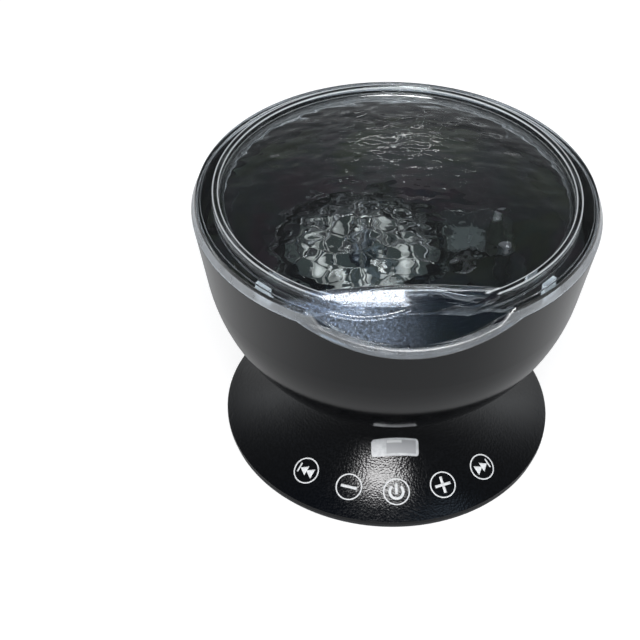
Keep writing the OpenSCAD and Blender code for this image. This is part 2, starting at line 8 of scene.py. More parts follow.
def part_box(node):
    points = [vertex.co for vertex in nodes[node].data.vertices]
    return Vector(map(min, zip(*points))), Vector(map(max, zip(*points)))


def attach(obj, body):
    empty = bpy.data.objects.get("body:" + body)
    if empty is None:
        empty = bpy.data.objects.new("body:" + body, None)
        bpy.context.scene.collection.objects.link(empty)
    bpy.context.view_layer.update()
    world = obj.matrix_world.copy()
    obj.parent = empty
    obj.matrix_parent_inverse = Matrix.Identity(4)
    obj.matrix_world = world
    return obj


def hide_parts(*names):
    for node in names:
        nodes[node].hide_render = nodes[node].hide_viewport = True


# An ocean wave projector: a black bowl with a clear rippled lid, tilting on a flared black base.
# The exact solids carry every size; this file adds the finishes, the printed keys and the rippled
# clear mouldings. Everything is in metres, with the front towards -Y.
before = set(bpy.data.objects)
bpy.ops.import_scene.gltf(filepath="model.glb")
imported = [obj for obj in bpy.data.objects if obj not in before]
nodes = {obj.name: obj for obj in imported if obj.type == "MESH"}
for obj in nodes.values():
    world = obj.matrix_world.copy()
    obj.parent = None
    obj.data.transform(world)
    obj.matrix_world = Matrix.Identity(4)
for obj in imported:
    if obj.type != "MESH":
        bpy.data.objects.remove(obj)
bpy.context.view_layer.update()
mm = 0.001


# View
# The camera stands in front of the projector, a little to its left, and looks down into the lid.
# Its place, direction and focal length are fitted to the photograph.
photo_width = 640
view_focal_px = 1518.9
view_from = Vector((-44.2, -427.1, 431.0)) * mm
view_turn, view_down, view_roll = (math.radians(a) for a in (-2.35, 41.84, 0.53))

lens_data = bpy.data.cameras.new("view")
lens_data.sensor_width = 36
lens_data.lens = view_focal_px * lens_data.sensor_width / photo_width
lens_data.clip_start, lens_data.clip_end = 0.01, 20
view = bpy.data.objects.new("view", lens_data)
view.location = view_from
view.rotation_mode = "QUATERNION"
upright = Euler((math.pi / 2 - view_down, 0, view_turn)).to_quaternion()
view.rotation_quaternion = upright @ Quaternion((0, 0, 1), view_roll)
bpy.context.scene.collection.objects.link(view)
bpy.context.scene.camera = view
bpy.context.scene.view_settings.view_transform = "Standard"


# Table and backdrop
# A seamless white paper sheet, flat under the projector and swept up behind it. Seen directly it
# glows almost white, as in the photograph, and seen through clear plastic a little less. In mirrors it
# glows faintly under the projector and brighter beside it: a painted pool of light that the bowl's
# sides mirror. The rest of its brightness is light that falls on it.
def linked(tree, kind, **values):
    """Adds a shader node and sets its sockets: by value, or by a link from another node's socket."""
    node = tree.nodes.new(kind)
    for name, value in values.items():
        if hasattr(node, name):
            setattr(node, name, value)
            continue
        socket = node.inputs[name.replace("_", " ")]
        if isinstance(value, bpy.types.NodeSocket):
            tree.links.new(value, socket)
        else:
            socket.default_value = value
    return node


def fresh_material(name):
    """A material with only an output node, and its tree."""
    material = bpy.data.materials.new(name)
    material.use_nodes = True
    material.node_tree.nodes.clear()
    linked(material.node_tree, "ShaderNodeOutputMaterial")
    return material, material.node_tree


def finish_with(tree, shader):
    """Joins a shader to its material's output."""
    output = next(n for n in tree.nodes if n.type == "OUTPUT_MATERIAL")
    tree.links.new(shader, output.inputs["Surface"])


def own_place(tree):
    """Where a point of the surface is in the whole projector's frame, in metres."""
    return linked(tree, "ShaderNodeTexCoord").outputs["Object"]


def maths(tree, operation, *sockets):
    """The result of a maths node on one or two sockets."""
    node = linked(tree, "ShaderNodeMath", operation=operation)
    for number, socket in enumerate(sockets):
        tree.links.new(socket, node.inputs[number])
    return node.outputs[0]


def share(tree, value, *steps):
    """A smooth mask from 0 to 1: each step gives the values where it starts and where it is full."""
    mask = None
    for start, full in steps:
        step = linked(tree, "ShaderNodeMapRange", Value=value, interpolation_type="SMOOTHSTEP")
        step.inputs["From Min"].default_value, step.inputs["From Max"].default_value = sorted((start, full))
        step.inputs["To Min"].default_value = float(start > full)
        step.inputs["To Max"].default_value = float(start < full)
        mask = step.outputs[0] if mask is None else maths(tree, "MULTIPLY", mask, step.outputs[0])
    return mask


def rescaled(tree, value, start, full, low, high):
    """A value that goes evenly from low to high while another goes from start to full."""
    return linked(tree, "ShaderNodeMapRange", Value=value, From_Min=start, From_Max=full,
                  To_Min=low, To_Max=high).outputs[0]


def fade_between(tree, mask, low, high):
    """A value, or a colour, that goes from low to high as a mask goes from 0 to 1."""
    if isinstance(low, (float, int)):
        return rescaled(tree, mask, 0.0, 1.0, low, high)
    node = linked(tree, "ShaderNodeMix", data_type="RGBA")
    tree.links.new(mask, node.inputs["Factor"])
    for socket, colour in ((node.inputs[6], low), (node.inputs[7], high)):
        if isinstance(colour, bpy.types.NodeSocket):
            tree.links.new(colour, socket)
        else:
            socket.default_value = (*colour, 1)
    return node.outputs[2]


def new_piece(name, points, faces, material, smooth=True):
    """A mesh object from points in metres and faces."""
    mesh = bpy.data.meshes.new(name)
    mesh.from_pydata([tuple(p) for p in points], [], faces)
    mesh.validate()
    mesh.materials.append(material)
    if smooth:
        mesh.shade_smooth()
    piece = bpy.data.objects.new(name, mesh)
    bpy.context.scene.collection.objects.link(piece)
    return piece


paper_grey = (0.48, 0.48, 0.48, 1)
glow_seen, glow_through_clear = 0.78, 0.62
glow_mirrored_under, glow_mirrored_beside = 0.05, 0.34
under_x, beside_x = 0.05, 0.16

sheet_white, tree = fresh_material("sheet_white")
path = linked(tree, "ShaderNodeLightPath")
parts = linked(tree, "ShaderNodeSeparateXYZ", Vector=own_place(tree))
# Painted light: in mirrors the sheet glows faintly under the projector and brighter beside it.
aside = share(tree, maths(tree, "ABSOLUTE", parts.outputs["X"]), (under_x, beside_x))
beside = fade_between(tree, aside, glow_mirrored_under, glow_mirrored_beside)
mirrored = maths(tree, "MULTIPLY", path.outputs["Is Glossy Ray"], beside)
direct = maths(tree, "MAXIMUM", fade_between(tree, path.outputs["Is Camera Ray"], 0.0, glow_seen),
               fade_between(tree, path.outputs["Is Transmission Ray"], 0.0, glow_through_clear))
paper = linked(tree, "ShaderNodeBsdfDiffuse", Color=paper_grey)
glow = linked(tree, "ShaderNodeEmission", Color=(1, 1, 1, 1),
              Strength=maths(tree, "MAXIMUM", direct, mirrored))
lit = linked(tree, "ShaderNodeAddShader")
tree.links.new(paper.outputs[0], lit.inputs[0])
tree.links.new(glow.outputs[0], lit.inputs[1])
finish_with(tree, lit.outputs[0])

sheet_front, sheet_side = 1.6, 2.4
sweep_start, sweep_radius = 1.0, 0.5
sweep_turn, sweep_step = 70, 10
outline = [(-sheet_front, 0.0), (sweep_start, 0.0)]
outline += [(sweep_start + sweep_radius * math.sin(math.radians(a)),
             sweep_radius * (1 - math.cos(math.radians(a))))
            for a in range(sweep_step, sweep_turn + 1, sweep_step)]
points = [(x * sheet_side, y, z) for y, z in outline for x in (-1, 1)]
faces = [(2 * i, 2 * i + 1, 2 * i + 3, 2 * i + 2) for i in range(len(outline) - 1)]
backdrop = new_piece("backdrop", points, faces, sheet_white)


# Studio light
# A room that is pale at eye level and dark overhead keeps the base black. A broad soft box makes its
# gloss, two weak lamps edge the lid, and a fill lamp that nothing mirrors lights ink and window.
def ramp(tree, value, first, last, *between):
    """Colours along a value. Each stop is a value and its colour."""
    node = linked(tree, "ShaderNodeValToRGB", Fac=value)
    stops = node.color_ramp.elements
    for number, (level, colour) in enumerate((first, last)):
        stops[number].position, stops[number].color = level, (*colour, 1)
    for level, colour in between:
        stops.new(level).color = (*colour, 1)
    return node.outputs["Color"]


def either(tree, mask, off, on):
    """One shader where a mask is 0 and another where it is 1."""
    node = linked(tree, "ShaderNodeMixShader")
    for socket, source in zip(node.inputs, (mask, off, on)):
        tree.links.new(source, socket)
    return node.outputs[0]


table_pale, ceiling_navy = (0.92, 0.95, 0.98), (0.035, 0.055, 0.095)
table_rise, ceiling_rise = 0.28, 0.97
wall_greys = ((0.36, 0.62), (0.44, 0.42), (0.52, 0.24), (0.62, 0.13), (0.80, 0.09))
eye_level_rise = (0.25, 0.05)
back_wall, back_wall_light = (0.55, 0.92), 0.35

room = bpy.data.worlds.new("room")
bpy.context.scene.world = room
room.use_nodes = True
tree = room.node_tree
tree.nodes.clear()
path = linked(tree, "ShaderNodeLightPath")
towards = linked(tree, "ShaderNodeTexCoord").outputs["Generated"]
parts = linked(tree, "ShaderNodeSeparateXYZ", Vector=towards)
through_clear = maths(tree, "MULTIPLY", path.outputs["Is Transmission Ray"],
                      share(tree, parts.outputs["Z"], eye_level_rise))
seen = maths(tree, "MAXIMUM", path.outputs["Is Camera Ray"], through_clear)
shade = ramp(tree, parts.outputs["Z"], (table_rise, table_pale), (ceiling_rise, ceiling_navy),
             *((rise, (grey * 0.97, grey, grey * 1.04)) for rise, grey in wall_greys))
dimmed = fade_between(tree, share(tree, parts.outputs["Y"], back_wall), 1.0, back_wall_light)
walls = linked(tree, "ShaderNodeBackground", Color=shade, Strength=dimmed)
white = linked(tree, "ShaderNodeBackground", Color=(1, 1, 1, 1), Strength=1.0)
linked(tree, "ShaderNodeOutputWorld", Surface=either(tree, seen, walls.outputs[0], white.outputs[0]))

lamp_aim = Vector((0, 0, 50 * mm))


def soft_box(name, turn, rise, distance, width, height, watts, colour=(1, 1, 1)):
    """A rectangular lamp that shines at the projector from a compass turn (0 is behind it, 180 in
    front, 90 to its right) and a rise above the table, both in degrees."""
    data = bpy.data.lights.new(name, "AREA")
    data.shape = "RECTANGLE"
    data.size, data.size_y, data.energy, data.color = width, height, watts, colour
    lamp = bpy.data.objects.new(name, data)
    turn, rise = math.radians(turn), math.radians(rise)
    along = Vector((math.sin(turn) * math.cos(rise), math.cos(turn) * math.cos(rise), math.sin(rise)))
    lamp.location = lamp_aim + along * distance
    lamp.rotation_euler = (-along).to_track_quat("-Z", "Y").to_euler()
    bpy.context.scene.collection.objects.link(lamp)
    return lamp


soft_box("box_high", turn=187, rise=57, distance=1.1, width=0.44, height=0.20, watts=5.2)
soft_box("box_blue", turn=100, rise=72, distance=1.1, width=0.40, height=0.42, watts=0.45,
         colour=(0.62, 0.80, 1.0))
soft_box("strip_back", turn=6, rise=29, distance=1.4, width=0.22, height=0.012, watts=0.05)
fill = soft_box("box_fill", turn=180, rise=50, distance=1.1, width=0.6, height=0.4, watts=3.5)
fill.visible_glossy = False


# Bottom cover
# A dark moulded disc, screwed into the base from below. It has sound holes under the loudspeaker,
# and clips and posts for what stands on it.
def mottle(tree, place, per_metre, detail, **more):
    """A soft random pattern from 0 to 1, with its rough count of spots along a metre."""
    noise_node = linked(tree, "ShaderNodeTexNoise", Vector=place, Scale=per_metre, Detail=detail, **more)
    return noise_node.outputs["Fac"]


def bumped(tree, height, depth):
    """The surface's direction with a relief whose depth is in metres."""
    return linked(tree, "ShaderNodeBump", Height=height, Distance=depth, Strength=1.0).outputs[0]


def moulded_plastic(name, colour, roughness, grain=0.35, depth=0.03, shade=0.15):
    """Opaque moulded plastic: a fine grain, slightly uneven gloss and a faint drift of shade.
    grain and depth are in millimetres."""
    material, tree = fresh_material(name)
    place = own_place(tree)
    grains = mottle(tree, place, 1 / (grain * mm), 3.0)
    drift = mottle(tree, place, 60.0, 4.0)
    darker = tuple(c * (1 - shade) for c in colour)
    lighter = tuple(c * (1 + shade) for c in colour)
    shell = linked(tree, "ShaderNodeBsdfPrincipled", Base_Color=fade_between(tree, drift, darker, lighter),
                   Roughness=fade_between(tree, drift, roughness * 0.9, roughness * 1.1),
                   Normal=bumped(tree, grains, depth * mm))
    finish_with(tree, shell.outputs[0])
    return material


def finish_node(name, material):
    """Gives a solid of the frame its finish."""
    nodes[name].data.materials.clear()
    nodes[name].data.materials.append(material)


cover_black = moulded_plastic("cover_black", (0.030, 0.031, 0.034), 0.5, grain=0.5, depth=0.02)
finish_node("base_cover", cover_black)


# Rubber feet and cover screws
# Four soft rubber pads, pressed into round recesses, and four pan-head steel screws beside them.
# The same plain steel makes the other small screws and the coil springs under the keys.
foot_rubber = moulded_plastic("foot_rubber", (0.022, 0.022, 0.023), 0.85, grain=0.8, depth=0.06)
finish_node("rubber_feet", foot_rubber)


def bright_metal(name, colour, roughness, brushing=0.25):
    """Plated or drawn steel with fine marks along one direction."""
    material, tree = fresh_material(name)
    marks_per_metre = (900, 900, 9000)
    stretch = linked(tree, "ShaderNodeMapping", Vector=own_place(tree), Scale=marks_per_metre)
    marks = mottle(tree, stretch.outputs[0], 1.0, 2.0)
    gloss = fade_between(tree, marks, roughness * (1 - brushing), roughness * (1 + brushing))
    metal = linked(tree, "ShaderNodeBsdfPrincipled", Base_Color=(*colour, 1), Metallic=1.0, Roughness=gloss)
    finish_with(tree, metal.outputs[0])
    return material


screw_steel = bright_metal("screw_steel", (0.60, 0.60, 0.62), 0.32)
for name in ("cover_screws", "board_screws", "shoe_screws", "touch_springs"):
    finish_node(name, screw_steel)


# Base shell
# One black moulding: the foot edge, the inward-curved flank, the neck and the dish for the bowl.
# The mould was spark-eroded, so the skin glitters with fine grains where the soft box shines on it.
pits_per_metre, pit_depth = 1250.0, 0.042 * mm
pit_black, grain_black = (0.0014, 0.0017, 0.0023), (0.0026, 0.0031, 0.0042)

base_black, tree = fresh_material("base_black")
pits = linked(tree, "ShaderNodeTexVoronoi", Vector=own_place(tree), Scale=pits_per_metre).outputs["Distance"]
tone = ramp(tree, pits, (0.35, pit_black), (0.65, grain_black))
shell = linked(tree, "ShaderNodeBsdfPrincipled", Base_Color=tone,
               Roughness=rescaled(tree, pits, 0.1, 0.7, 0.08, 0.20), Normal=bumped(tree, pits, pit_depth))
finish_with(tree, shell.outputs[0])
finish_node("base_shell", base_black)


# Infrared window
# A pale frosted plate of clear plastic, clipped into the flank from inside, so that its face follows
# the curve. Over the receiver's pocket it is painted darker as painted shade, with a bright painted
# highlight streak.
window_left, field_right, streak_right = -3.4 * mm, 8.0 * mm, 2.8 * mm
field_front, field_back = -1.9 * mm, 2.1 * mm
streak_front, streak_back = 1.0 * mm, 2.0 * mm
field_soft, streak_soft_x, streak_soft_y = 0.4 * mm, 0.6 * mm, 0.3 * mm
frost_depth = 0.05 * mm
frost_grey, frost_white = (0.60, 0.62, 0.64), (0.90, 0.92, 0.94)
pocket_shade_grey, highlight_white = (0.45, 0.46, 0.48), (0.92, 0.94, 0.95)


def patch(tree, parts, left, right, front, back, soft_x, soft_y):
    """A mask over a rectangle seen from above, with soft borders."""
    return maths(tree, "MULTIPLY",
                 share(tree, parts.outputs["X"], (left, left + soft_x), (right, right - soft_x)),
                 share(tree, parts.outputs["Y"], (front, front + soft_y), (back, back - soft_y)))


window_low, window_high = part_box("ir_window")
window_y = (window_low.y + window_high.y) / 2
window_frost, tree = fresh_material("window_frost")
place = own_place(tree)
parts = linked(tree, "ShaderNodeSeparateXYZ", Vector=place)
# Painted shade: a darker field over the receiver's pocket. Painted highlight: a bright streak across it.
pocket_shade = patch(tree, parts, window_left, field_right, window_y + field_front, window_y + field_back,
              field_soft, field_soft)
streak_highlight = patch(tree, parts, window_left, streak_right, window_y + streak_front, window_y + streak_back,
               streak_soft_x, streak_soft_y)
tone = ramp(tree, mottle(tree, place, 330.0, 5.0), (0.35, frost_grey), (0.68, frost_white))
tone = fade_between(tree, pocket_shade, tone, pocket_shade_grey)
tone = fade_between(tree, streak_highlight, tone, highlight_white)
plate = linked(tree, "ShaderNodeBsdfPrincipled", Base_Color=tone, Roughness=0.3, Transmission_Weight=0.15,
               Normal=bumped(tree, mottle(tree, place, 2600.0, 2.0), frost_depth))
finish_with(tree, plate.outputs[0])
finish_node("ir_window", window_frost)


# Printed touch keys
# Five signs in white ink on the flank, each in a thin ring: previous, quieter, power, louder, next.
# The ink is a skin of a few hundredths of a millimetre that follows the curve of the flank.
ink_pale, ink_bright, ink_painted_dark_in_mirror = (0.78, 0.80, 0.82), (0.95, 0.96, 0.97), (0.02, 0.02, 0.02)

ink_white, tree = fresh_material("ink_white")
tone = ramp(tree, mottle(tree, own_place(tree), 1500.0, 3.0), (0.30, ink_pale), (0.55, ink_bright))
# Painted shade: seen in mirrors, the ink is painted nearly black.
mirrored = linked(tree, "ShaderNodeLightPath").outputs["Is Glossy Ray"]
ink = linked(tree, "ShaderNodeBsdfPrincipled", Base_Color=fade_between(tree, mirrored, tone, ink_painted_dark_in_mirror),
             Roughness=0.45)
finish_with(tree, ink.outputs[0])

key_ring_r = 53.0 * mm
key_step = 19.25
ring_r, ring_line = 4.75 * mm, 0.5 * mm
sign_wide, sign_line, plus_arm = 6.2 * mm, 1.05 * mm, 2.65 * mm
power_r, power_line, power_gap = 2.5 * mm, 1.0 * mm, (-232, 52)
power_bar, power_bar_y = 4.2 * mm, 1.1 * mm
arrows = ((0.1 * mm, -3.0 * mm), (2.6 * mm, -0.3 * mm))
arrow_half, arrow_blunt = 1.95 * mm, 0.02 * mm
stop_x, stop_wide, stop_high = 3.0 * mm, 0.6 * mm, 3.7 * mm
ink_thick, skin_share = 0.04 * mm, 0.8


def strip(corners, steps_a, steps_b):
    """A patch between four corners (two sides running the same way), as rows of points and faces."""
    a, b, c, d = (Vector(v) for v in corners)
    points = [a.lerp(b, i / steps_a).lerp(d.lerp(c, i / steps_a), j / steps_b)
              for j in range(steps_b + 1) for i in range(steps_a + 1)]
    faces = [(j * (steps_a + 1) + i, j * (steps_a + 1) + i + 1,
              (j + 1) * (steps_a + 1) + i + 1, (j + 1) * (steps_a + 1) + i)
             for j in range(steps_b) for i in range(steps_a)]
    return points, faces


def arc_band(radius, line, start, end, steps):
    """A curved line of even width, from one angle to another, in degrees from the sign's right."""
    points = []
    for i in range(steps + 1):
        a = math.radians(start + (end - start) * i / steps)
        for r in (radius - line / 2, radius + line / 2):
            points.append(Vector((r * math.cos(a), r * math.sin(a))))
    faces = [(2 * i, 2 * i + 1, 2 * i + 3, 2 * i + 2) for i in range(steps)]
    return points, faces


def bar(width, height, x=0.0, y=0.0):
    """An upright rectangle about a middle."""
    w, h = width / 2, height / 2
    return strip([(x - w, y - h), (x + w, y - h), (x + w, y + h), (x - w, y + h)],
                 max(1, round(width / mm)), max(1, round(height / mm)))


def wedge(tip_x, back_x, half):
    """A triangle that points along the sign's width."""
    return strip([(back_x, -half), (tip_x, -arrow_blunt), (tip_x, arrow_blunt), (back_x, half)], 4, 4)


def skip_sign(way):
    """Two triangles one behind the other and a bar, pointing right (1) or left (-1)."""
    return ([wedge(way * tip, way * back, arrow_half) for tip, back in arrows]
            + [bar(stop_wide, stop_high, way * stop_x)])


plus_arm_y = (sign_line + plus_arm) / 2
power_sign = [arc_band(power_r, power_line, *power_gap, 28), bar(power_line, power_bar, 0, power_bar_y)]
minus_sign = [bar(sign_wide, sign_line)]
plus_sign = minus_sign + [bar(sign_line, plus_arm, 0, y) for y in (plus_arm_y, -plus_arm_y)]
signs = {"key_previous": skip_sign(-1), "key_quieter": minus_sign, "key_power": power_sign,
         "key_louder": plus_sign, "key_next": skip_sign(1)}

down = Vector((0, 0, -1))
above_flank, above_inner, inner_step, above_sign = 25 * mm, 30 * mm, 3 * mm, 4 * mm


def on_flank(start, along):
    """Where a line from a point meets the flank."""
    return nodes["base_shell"].ray_cast(start, along)[1]


for number, (name, shapes) in enumerate(signs.items()):
    turn = math.radians((number - 2) * key_step)
    outward = Vector((math.sin(turn), -math.cos(turn), 0))
    across = Vector((math.cos(turn), math.sin(turn), 0))
    foot = outward * key_ring_r
    middle = on_flank(foot - down * above_flank, down)
    inner = on_flank(foot - outward * inner_step - down * above_inner, down)
    upward = (inner - middle).normalized()
    facing = across.cross(upward).normalized()
    points, faces = [], []
    for flat_points, flat_faces in shapes + [arc_band(ring_r, ring_line, 0, 360, 72)]:
        first = len(points)
        for flat in flat_points:
            above = middle + across * flat.x + upward * flat.y + facing * above_sign
            points.append(on_flank(above, -facing) + facing * ink_thick)
        faces += [tuple(first + i for i in face) for face in flat_faces]
    mark = new_piece(name, points, faces, ink_white)
    skin = mark.modifiers.new("skin", "SOLIDIFY")
    skin.thickness, skin.offset = ink_thick * skin_share, -1
    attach(mark, "base")


# Parts inside the base
# Receiver, touch board, main board with its chips, the two sockets, and the loudspeaker. They are
# ordinary electronics, seen only through the socket holes and the sound holes.
part_black = moulded_plastic("part_black", (0.02, 0.02, 0.022), 0.45)
board_green = moulded_plastic("board_green", (0.02, 0.13, 0.055), 0.35, grain=0.9, depth=0.02, shade=0.3)
plated_steel = bright_metal("plated_steel", (0.66, 0.66, 0.68), 0.28)
cone_paper = moulded_plastic("cone_paper", (0.03, 0.03, 0.033), 0.9, grain=0.6, depth=0.08)
for name in ("ir_receiver", "board_chips", "audio_jack"):
    finish_node(name, part_black)
for name in ("touch_board", "main_board"):
    finish_node(name, board_green)
for name in ("usb_socket", "speaker_basket"):
    finish_node(name, plated_steel)
finish_node("speaker_cone", cone_paper)


# Neck pad and clamp shoe
# A ring of hard rubber, seated in the neck, grips the bowl. A slippery moulded shoe inside the bowl
# is screwed to the base's post and holds the bowl down on the ring.
pad_rubber = moulded_plastic("pad_rubber", (0.03, 0.03, 0.032), 0.75, grain=0.6, depth=0.04)
finish_node("seat_pad", pad_rubber)
shoe_grey = moulded_plastic("shoe_grey", (0.42, 0.43, 0.44), 0.4)
finish_node("tilt_shoe", shoe_grey)


# Bowl
# The head's outer moulding: a smooth satin black that turns pale at its edges, where it mirrors the
# white room at a shallow angle. The round underside that slides in the neck is rubbed duller.
rubbed_z = (58 * mm, 47 * mm)
satin, rubbed_satin = 0.15, 0.20

bowl_black = moulded_plastic("bowl_black", (0.0012, 0.0015, 0.0021), satin,
                             grain=0.3, depth=0.006, shade=0.08)
tree = bowl_black.node_tree
rubbed = share(tree, linked(tree, "ShaderNodeSeparateXYZ", Vector=own_place(tree)).outputs["Z"], rubbed_z)
shell = next(n for n in tree.nodes if n.type == "BSDF_PRINCIPLED")
tree.links.new(fade_between(tree, rubbed, satin, rubbed_satin), shell.inputs["Roughness"])
finish_node("bowl_shell", bowl_black)


# Inner tray
# The black moulded liner that carries the lamps and the wave drive. Four black screws hold it in the
# bowl. Its matt black drifts a little between green, purple and blue: painted tints that stand in for
# the iridescent light through the clear lid.
liner_and_painted_tint_stops = ((0.30, (0.0050, 0.0105, 0.0100)), (0.72, (0.0060, 0.0090, 0.0130)),
               (0.42, (0.0080, 0.0100, 0.0050)), (0.50, (0.0060, 0.0075, 0.0085)),
               (0.60, (0.0110, 0.0065, 0.0090)))
liner_grain_depth = 0.05 * mm

tray_black, tree = fresh_material("tray_black")
place = own_place(tree)
drift = mottle(tree, place, 24.0, 3.0, Distortion=0.8)
# Painted light: the green, purple and blue tints stand in for the lid's iridescence.
liner = linked(tree, "ShaderNodeBsdfPrincipled", Base_Color=ramp(tree, drift, *liner_and_painted_tint_stops), Roughness=0.55,
               Specular_IOR_Level=0.2,
               Normal=bumped(tree, mottle(tree, place, 900.0, 2.0), liner_grain_depth))
finish_with(tree, liner.outputs[0])
finish_node("inner_tray", tray_black)
screw_black = bright_metal("screw_black", (0.030, 0.030, 0.032), 0.4)
for name in ("tray_screws", "motor_screws"):
    finish_node(name, screw_black)


# Lamp board and lamps
# A round grey fibreglass board under the wave dome. A ring of round-nosed lamps is soldered to it,
# each a cream body cast in resin.
board_grey = moulded_plastic("board_grey", (0.018, 0.024, 0.022), 0.45, grain=1.5, depth=0.02)
finish_node("lamp_board", board_grey)
lamp_cream = moulded_plastic("lamp_cream", (0.40, 0.39, 0.375), 0.10, grain=1.6, depth=0.10, shade=0.9)
finish_node("lamps", lamp_cream)


# Wave drive
# A geared motor in a steel can is screwed under the tray. The nylon pinion on its shaft turns the
# wave dome's gear rim, and the dome runs on a plain steel axle.
for name in ("gear_motor", "motor_shaft", "dome_axle"):
    finish_node(name, plated_steel)
gear_nylon = moulded_plastic("gear_nylon", (0.05, 0.05, 0.052), 0.4)
finish_node("drive_pinion", gear_nylon)


# Wave dome
# A clear dome whose outer skin is moulded into a crowd of bubbles. It turns slowly over the lamps on
# a gear rim, so the light that it bends drifts like water.
clear_ior, polish_roughness = 1.49, 0.02


def clear_finish(tree, tint, **body):
    """Clear plastic that bends what is seen through it, and lets lamps shine straight in."""
    solid = linked(tree, "ShaderNodeBsdfPrincipled", IOR=clear_ior, **body)
    through = linked(tree, "ShaderNodeBsdfTransparent", Color=(*tint, 1))
    in_shadow = linked(tree, "ShaderNodeLightPath").outputs["Is Shadow Ray"]
    finish_with(tree, either(tree, in_shadow, solid.outputs[0], through.outputs[0]))


def clear_plastic(name, tint):
    """Polished clear plastic of one tint."""
    material, tree = fresh_material(name)
    clear_finish(tree, tint, Base_Color=(*tint, 1), Roughness=polish_roughness, Transmission_Weight=1.0)
    return material


dome_clear = clear_plastic("dome_clear", (0.96, 0.975, 0.975))
dome_low, dome_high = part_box("wave_dome")
dome_x = (dome_low.x + dome_high.x) / 2
gear_tip_r = (dome_high.x - dome_low.x) / 2
gear_module, gear_teeth = 0.8 * mm, 80
gear_root_r = gear_tip_r - 2.0 * gear_module
gear_t, hub_r, axle_r = 2.0 * mm, 4.0 * mm, 1.55 * mm
hub_roof_z = dome_high.z - 1.2 * mm
dome_r, dome_rise, dome_wall = gear_root_r - 0.2 * mm, 11 * mm, 2 * mm
dome_ball_r = (dome_r ** 2 + dome_rise ** 2) / (2 * dome_rise)
dome_edge_z = dome_high.z - dome_rise
inner_r = math.sqrt((dome_ball_r - dome_wall) ** 2 - (dome_ball_r - dome_rise) ** 2)
bubble, bubble_deep, ridge_wide = 7.5 * mm, 1.1 * mm, 0.15
bubble_start = Vector((3.1, 1.7, 0.4))
edge_calm_r, edge_depth = 2 * mm, 0.15
dome_rings, dome_face_rings, dome_turns = 144, 120, 480


def dome_height(r, sunk=0.0):
    """Height of the dome's face over its edge, at a radius and a depth below the face."""
    ball = dome_ball_r - sunk
    return dome_rise - dome_ball_r + math.sqrt(max(ball * ball - r * r, 0))


def lathe_grid(rings, turns, place):
    """Points and faces of a round sheet: place(k, a) gives the point of ring k at angle a."""
    points = [place(k, 2 * math.pi * i / turns) for k in range(rings) for i in range(turns)]
    faces = [(k * turns + i, (k + 1) * turns + i, (k + 1) * turns + (i + 1) % turns,
              k * turns + (i + 1) % turns) for k in range(rings - 1) for i in range(turns)]
    return points, faces


def dome_point(k, a):
    """From the hub's hole over the bubbly face to the edge, and back along the smooth inside."""
    if k < dome_face_rings:
        r = axle_r * 0.5 + (dome_r - axle_r * 0.5) * k / (dome_face_rings - 1)
        x, y = r * math.cos(a), r * math.sin(a)
        near = noise.voronoi(Vector((x, y, 0)) / bubble + bubble_start)[0]
        dip = (1 - math.exp(-((near[1] - near[0]) / ridge_wide) ** 2)) * bubble_deep
        fade = min(1.0, (dome_r - r) / edge_calm_r) * (1 - edge_depth) + edge_depth
        return Vector((dome_x + x, y, dome_edge_z + max(0.0, dome_height(r) - dip * fade)))
    r = inner_r - (inner_r - hub_r) * (k - dome_face_rings) / (dome_rings - 1 - dome_face_rings)
    return Vector((dome_x + r * math.cos(a), r * math.sin(a), dome_edge_z + dome_height(r, dome_wall)))


points, faces = lathe_grid(dome_rings, dome_turns, dome_point)
hub_rings = [(hub_r, dome_low.z), (axle_r, dome_low.z), (axle_r, hub_roof_z), (axle_r * 0.02, hub_roof_z)]
first = len(points)
for r, z in hub_rings:
    points += [Vector((dome_x + r * math.cos(2 * math.pi * i / dome_turns),
                       r * math.sin(2 * math.pi * i / dome_turns), z)) for i in range(dome_turns)]
rows = [(dome_rings - 1) * dome_turns] + [first + n * dome_turns for n in range(len(hub_rings))]
for a, b in zip(rows, rows[1:]):
    faces += [(a + i, b + i, b + (i + 1) % dome_turns, a + (i + 1) % dome_turns) for i in range(dome_turns)]
faces.append(tuple(range(dome_turns)))
faces.append(tuple(rows[-1] + i for i in range(dome_turns))[::-1])
dome = new_piece("bubble_dome", points, faces, dome_clear)
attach(dome, "dome")
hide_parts("wave_dome")

# One tooth's corners: how far along its pitch each lies, and 1 at the tip or 0 at the root.
tooth = [(-0.33, 0), (-0.11, 1), (0.0, 1), (0.11, 1), (0.33, 0), (0.42, 0), (0.5, 0), (0.58, 0)]
corners = len(tooth) * gear_teeth
gear_z = dome_edge_z - gear_t
points, faces = [], []
for z, hole in ((gear_z, False), (gear_z + gear_t, False), (gear_z + gear_t, True), (gear_z, True)):
    for i in range(gear_teeth):
        for turn, out in tooth:
            a = 2 * math.pi * (i + turn) / gear_teeth
            r = inner_r if hole else gear_root_r + out * (gear_tip_r - gear_root_r)
            points.append((dome_x + r * math.cos(a), r * math.sin(a), z))
for k in range(4):
    a, b = k * corners, (k + 1) % 4 * corners
    faces += [(a + i, a + (i + 1) % corners, b + (i + 1) % corners, b + i) for i in range(corners)]
rim = new_piece("dome_gear", points, faces, dome_clear, smooth=False)
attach(rim, "dome")
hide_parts("wave_dome")


# Gear cover
# A clear plate over the place where the pinion meets the dome, screwed to two posts. Its front edge
# is cut in steps.
cover_clear = clear_plastic("cover_clear", (0.88, 0.94, 0.93))
cover_low, cover_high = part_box("gear_cover")
screw_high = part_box("gear_cover_screws")[1]
screw_head_r, screw_hole_r = 2 * mm, 1.2 * mm
screw_x, screw_y = screw_high.x - screw_head_r, screw_high.y - screw_head_r
front_steps, steps_end_x = 6, screw_x - 3 * mm
step_high_y, step_low_y, step_share = 0.2 * mm, 2.0 * mm, 0.62
cover_corner_r, cover_chamfer, cover_edge_round = 4 * mm, 2 * mm, 0.2 * mm


